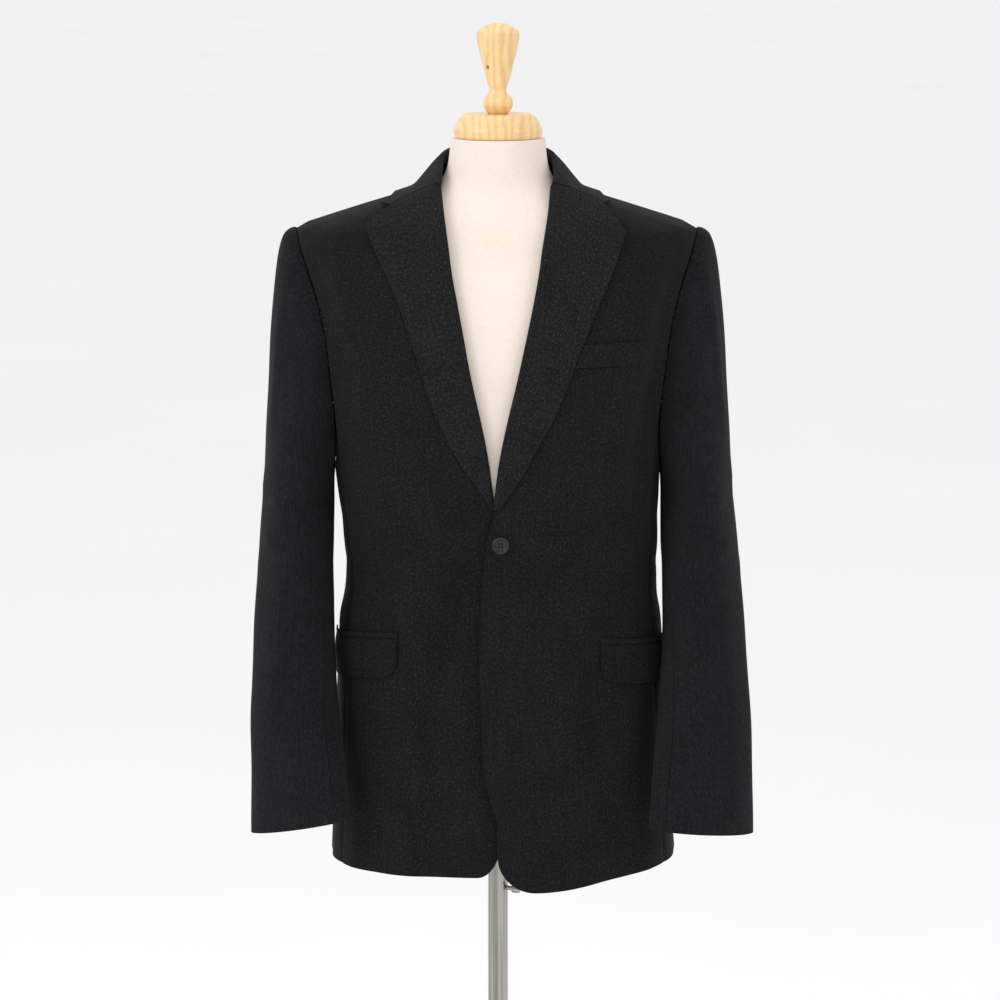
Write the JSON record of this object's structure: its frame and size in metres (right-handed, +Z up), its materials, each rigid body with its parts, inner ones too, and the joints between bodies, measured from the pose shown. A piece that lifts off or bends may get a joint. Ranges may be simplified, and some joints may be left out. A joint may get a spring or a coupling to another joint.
{
  "type": "single breasted blazer on a limbless dress form with a pole stand",
  "caption": "Dark charcoal wool single breasted blazer with notched lapels and flap pockets, buttoned on a cream dress form with a turned wood cap and a steel pole stand.",
  "frame": {"origin": "centre of the stand's round foot, on the floor under it", "axes": "+Z up along the pole; the blazer's front faces -Y and its wearer's left is +X"},
  "size_m": [0.5735, 0.35, 1.706],
  "materials": {
    "blazer_cloth": "fine charcoal wool melange, soft matt nap",
    "horn_button": "dark grey horn-like, satin with a raised rim",
    "form_jersey": "cream jersey, matt",
    "turned_wood": "pale turned pine, satin varnish",
    "brushed_steel": "brushed along its length"
  },
  "bodies": {
    "root": {"front_left": "blazer_cloth", "front_right": "blazer_cloth", "side_left": "blazer_cloth", "side_right": "blazer_cloth", "back_left": "blazer_cloth", "back_right": "blazer_cloth", "top_sleeve_left": "blazer_cloth", "top_sleeve_right": "blazer_cloth", "under_sleeve_left": "blazer_cloth", "under_sleeve_right": "blazer_cloth", "lapel_left": "blazer_cloth", "lapel_right": "blazer_cloth", "collar_fall": "blazer_cloth", "collar_stand": "blazer_cloth", "flap_left": "blazer_cloth", "flap_right": "blazer_cloth", "jet_left": "blazer_cloth", "jet_right": "blazer_cloth", "chest_welt": "blazer_cloth", "button_top": "horn_button", "button_lower": "horn_button", "form_body": "form_jersey", "form_neck_cap": "turned_wood", "form_handle": "turned_wood", "stand_flange": "brushed_steel", "stand_pole": "brushed_steel", "stand_base": "brushed_steel", "stand_clamp_screw": "brushed_steel"}
  },
  "joints": []
}
